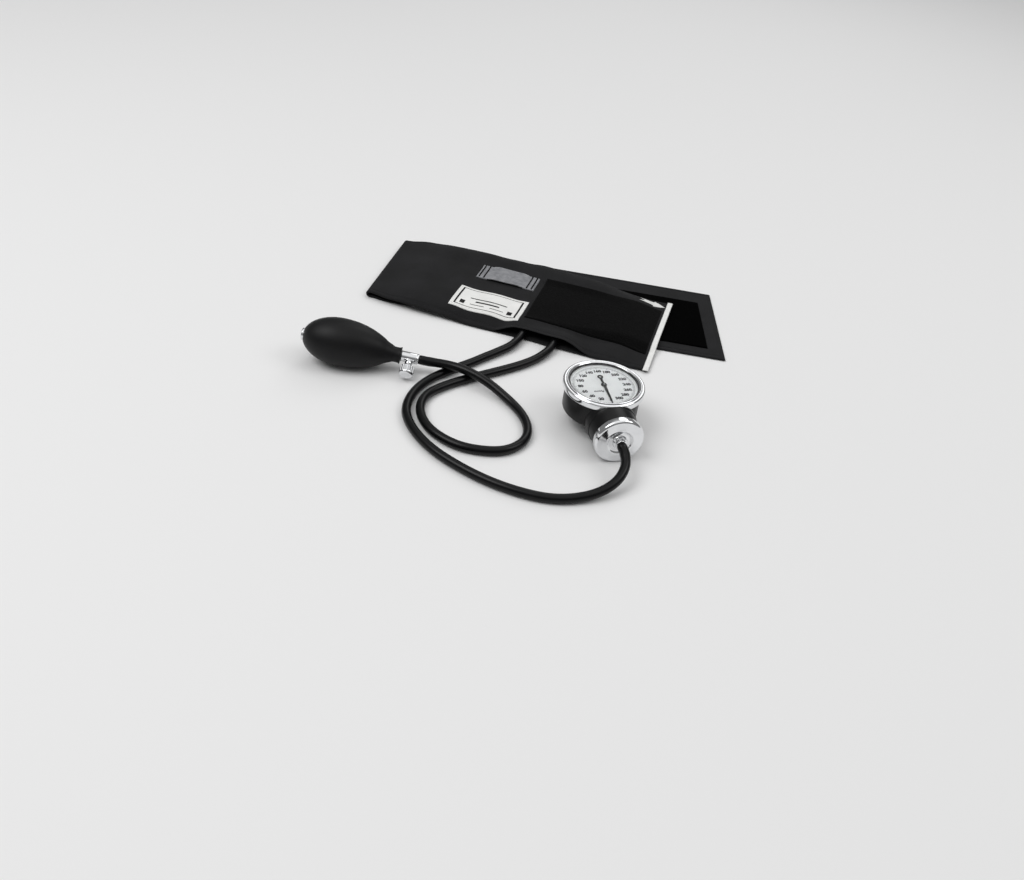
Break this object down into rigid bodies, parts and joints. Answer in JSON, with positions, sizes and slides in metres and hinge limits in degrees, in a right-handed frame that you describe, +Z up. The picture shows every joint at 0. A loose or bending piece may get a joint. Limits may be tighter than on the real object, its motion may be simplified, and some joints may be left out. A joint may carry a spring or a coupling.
{
  "type": "aneroid sphygmomanometer",
  "caption": "Manual blood pressure set: folded arm cuff, squeeze bulb with a knurled release valve, and a round dial gauge on two rubber tubes.",
  "frame": {"origin": "the underside of the folded cuff, where it lies on the table, under the middle of its upper leaf", "axes": "+X along the upper leaf from the fold to the index end, +Y away from the bulb and gauge, +Z up from the table"},
  "size_m": [0.3668, 0.4051, 0.0429],
  "materials": {
    "nylon_cloth": "matte plain weave",
    "nylon_lining": "matte plain weave",
    "bladder_rubber": "matte",
    "loop_pile": "brushed loop pile",
    "hook_tape": "hook tape",
    "white_tape": "fine ribbed tape",
    "grey_webbing": "ribbed webbing",
    "white_label": "smooth woven label",
    "tube_rubber": "satin black rubber",
    "bulb_rubber": "matte black rubber",
    "seal_rubber": "matte",
    "chrome": "polished",
    "steel": "turned",
    "spring_steel": "satin",
    "brass": "turned",
    "bronze": "satin",
    "black_enamel": "satin black",
    "needle_black": "matte black",
    "dial_enamel": "matte white",
    "white_plastic": "matte",
    "clear_window": "clear"
  },
  "bodies": {
    "set": {"cuff_outer_cloth": "nylon_cloth", "cuff_inner_cloth": "nylon_lining", "bladder": "bladder_rubber", "loop_panel": "loop_pile", "hook_panel": "hook_tape", "index_tape": "white_tape", "gauge_strap": "grey_webbing", "label_patch": "white_label", "bulb_tube": "tube_rubber", "gauge_tube": "tube_rubber", "bulb_shell": "bulb_rubber", "inlet_body": "chrome", "inlet_retainer": "brass", "valve_body": "chrome", "valve_washer": "seal_rubber", "outlet_retainer": "brass", "case_pan": "black_enamel", "bezel_ring": "chrome", "crystal": "clear_window", "crystal_gasket": "seal_rubber", "dial_ring": "white_plastic", "dial": "dial_enamel", "dial_screws": "steel", "zero_stop": "black_enamel", "hairspring": "spring_steel", "lower_plate": "brass", "upper_plate": "brass", "plate_pillars": "steel", "movement_posts": "steel", "drum_housing": "black_enamel", "cap_gasket": "seal_rubber", "end_cap": "chrome", "nipple": "chrome", "capsule_back": "bronze", "back_clip": "spring_steel", "clip_rivets": "steel"},
    "sector": {"sector_gear": "brass", "sector_arbor": "steel", "crank_arm": "brass"},
    "pointer": {"pointer": "needle_black", "pinion_arbor": "brass"},
    "capsule": {"capsule_front": "bronze", "push_pin": "steel"},
    "needle": {"valve_needle": "steel"},
    "screw": {"release_screw": "chrome"},
    "ball": {"inlet_ball": "steel"},
    "disc": {"outlet_disc": "seal_rubber"}
  },
  "joints": [
    {"name": "capsule_push", "type": "slide", "parent": "set", "child": "capsule", "axis": [-0.5, 0.866, 0], "range_m": [0, 0.00209], "stiffness_N_per_m": 2000},
    {"name": "sector_turn", "type": "hinge", "parent": "set", "child": "sector", "pos_m": [0.13057, -0.18144, 0.0307], "axis": [0, 0, 1], "range_deg": [0, 37.5]},
    {"name": "pointer_turn", "type": "hinge", "parent": "set", "child": "pointer", "pos_m": [0.12315, -0.1618, 0.0375], "axis": [0, 0, -1], "range_deg": [0, 337.5]},
    {"name": "needle_lift", "type": "slide", "parent": "set", "child": "needle", "axis": [0.1843, -0.9096, -0.3723], "range_m": [0, 0.0012]},
    {"name": "screw_turn", "type": "hinge", "parent": "needle", "child": "screw", "pos_m": [-0.05122, -0.16292, 0.01438], "axis": [0.1843, -0.9096, -0.3723], "range_deg": [0, 720]},
    {"name": "ball_lift", "type": "slide", "parent": "set", "child": "ball", "axis": [0.9644, 0.2405, -0.1099], "range_m": [0, 0.001]},
    {"name": "disc_lift", "type": "slide", "parent": "set", "child": "disc", "axis": [0.9644, 0.2405, -0.1099], "range_m": [0, 0.0008]}
  ],
  "couplings": [
    {"joint": "sector_turn", "follows": "capsule_push", "rad_per_m": 312.5},
    {"joint": "pointer_turn", "follows": "capsule_push", "rad_per_m": 2812.5},
    {"joint": "screw_turn", "follows": "needle_lift", "rad_per_m": 10472}
  ]
}
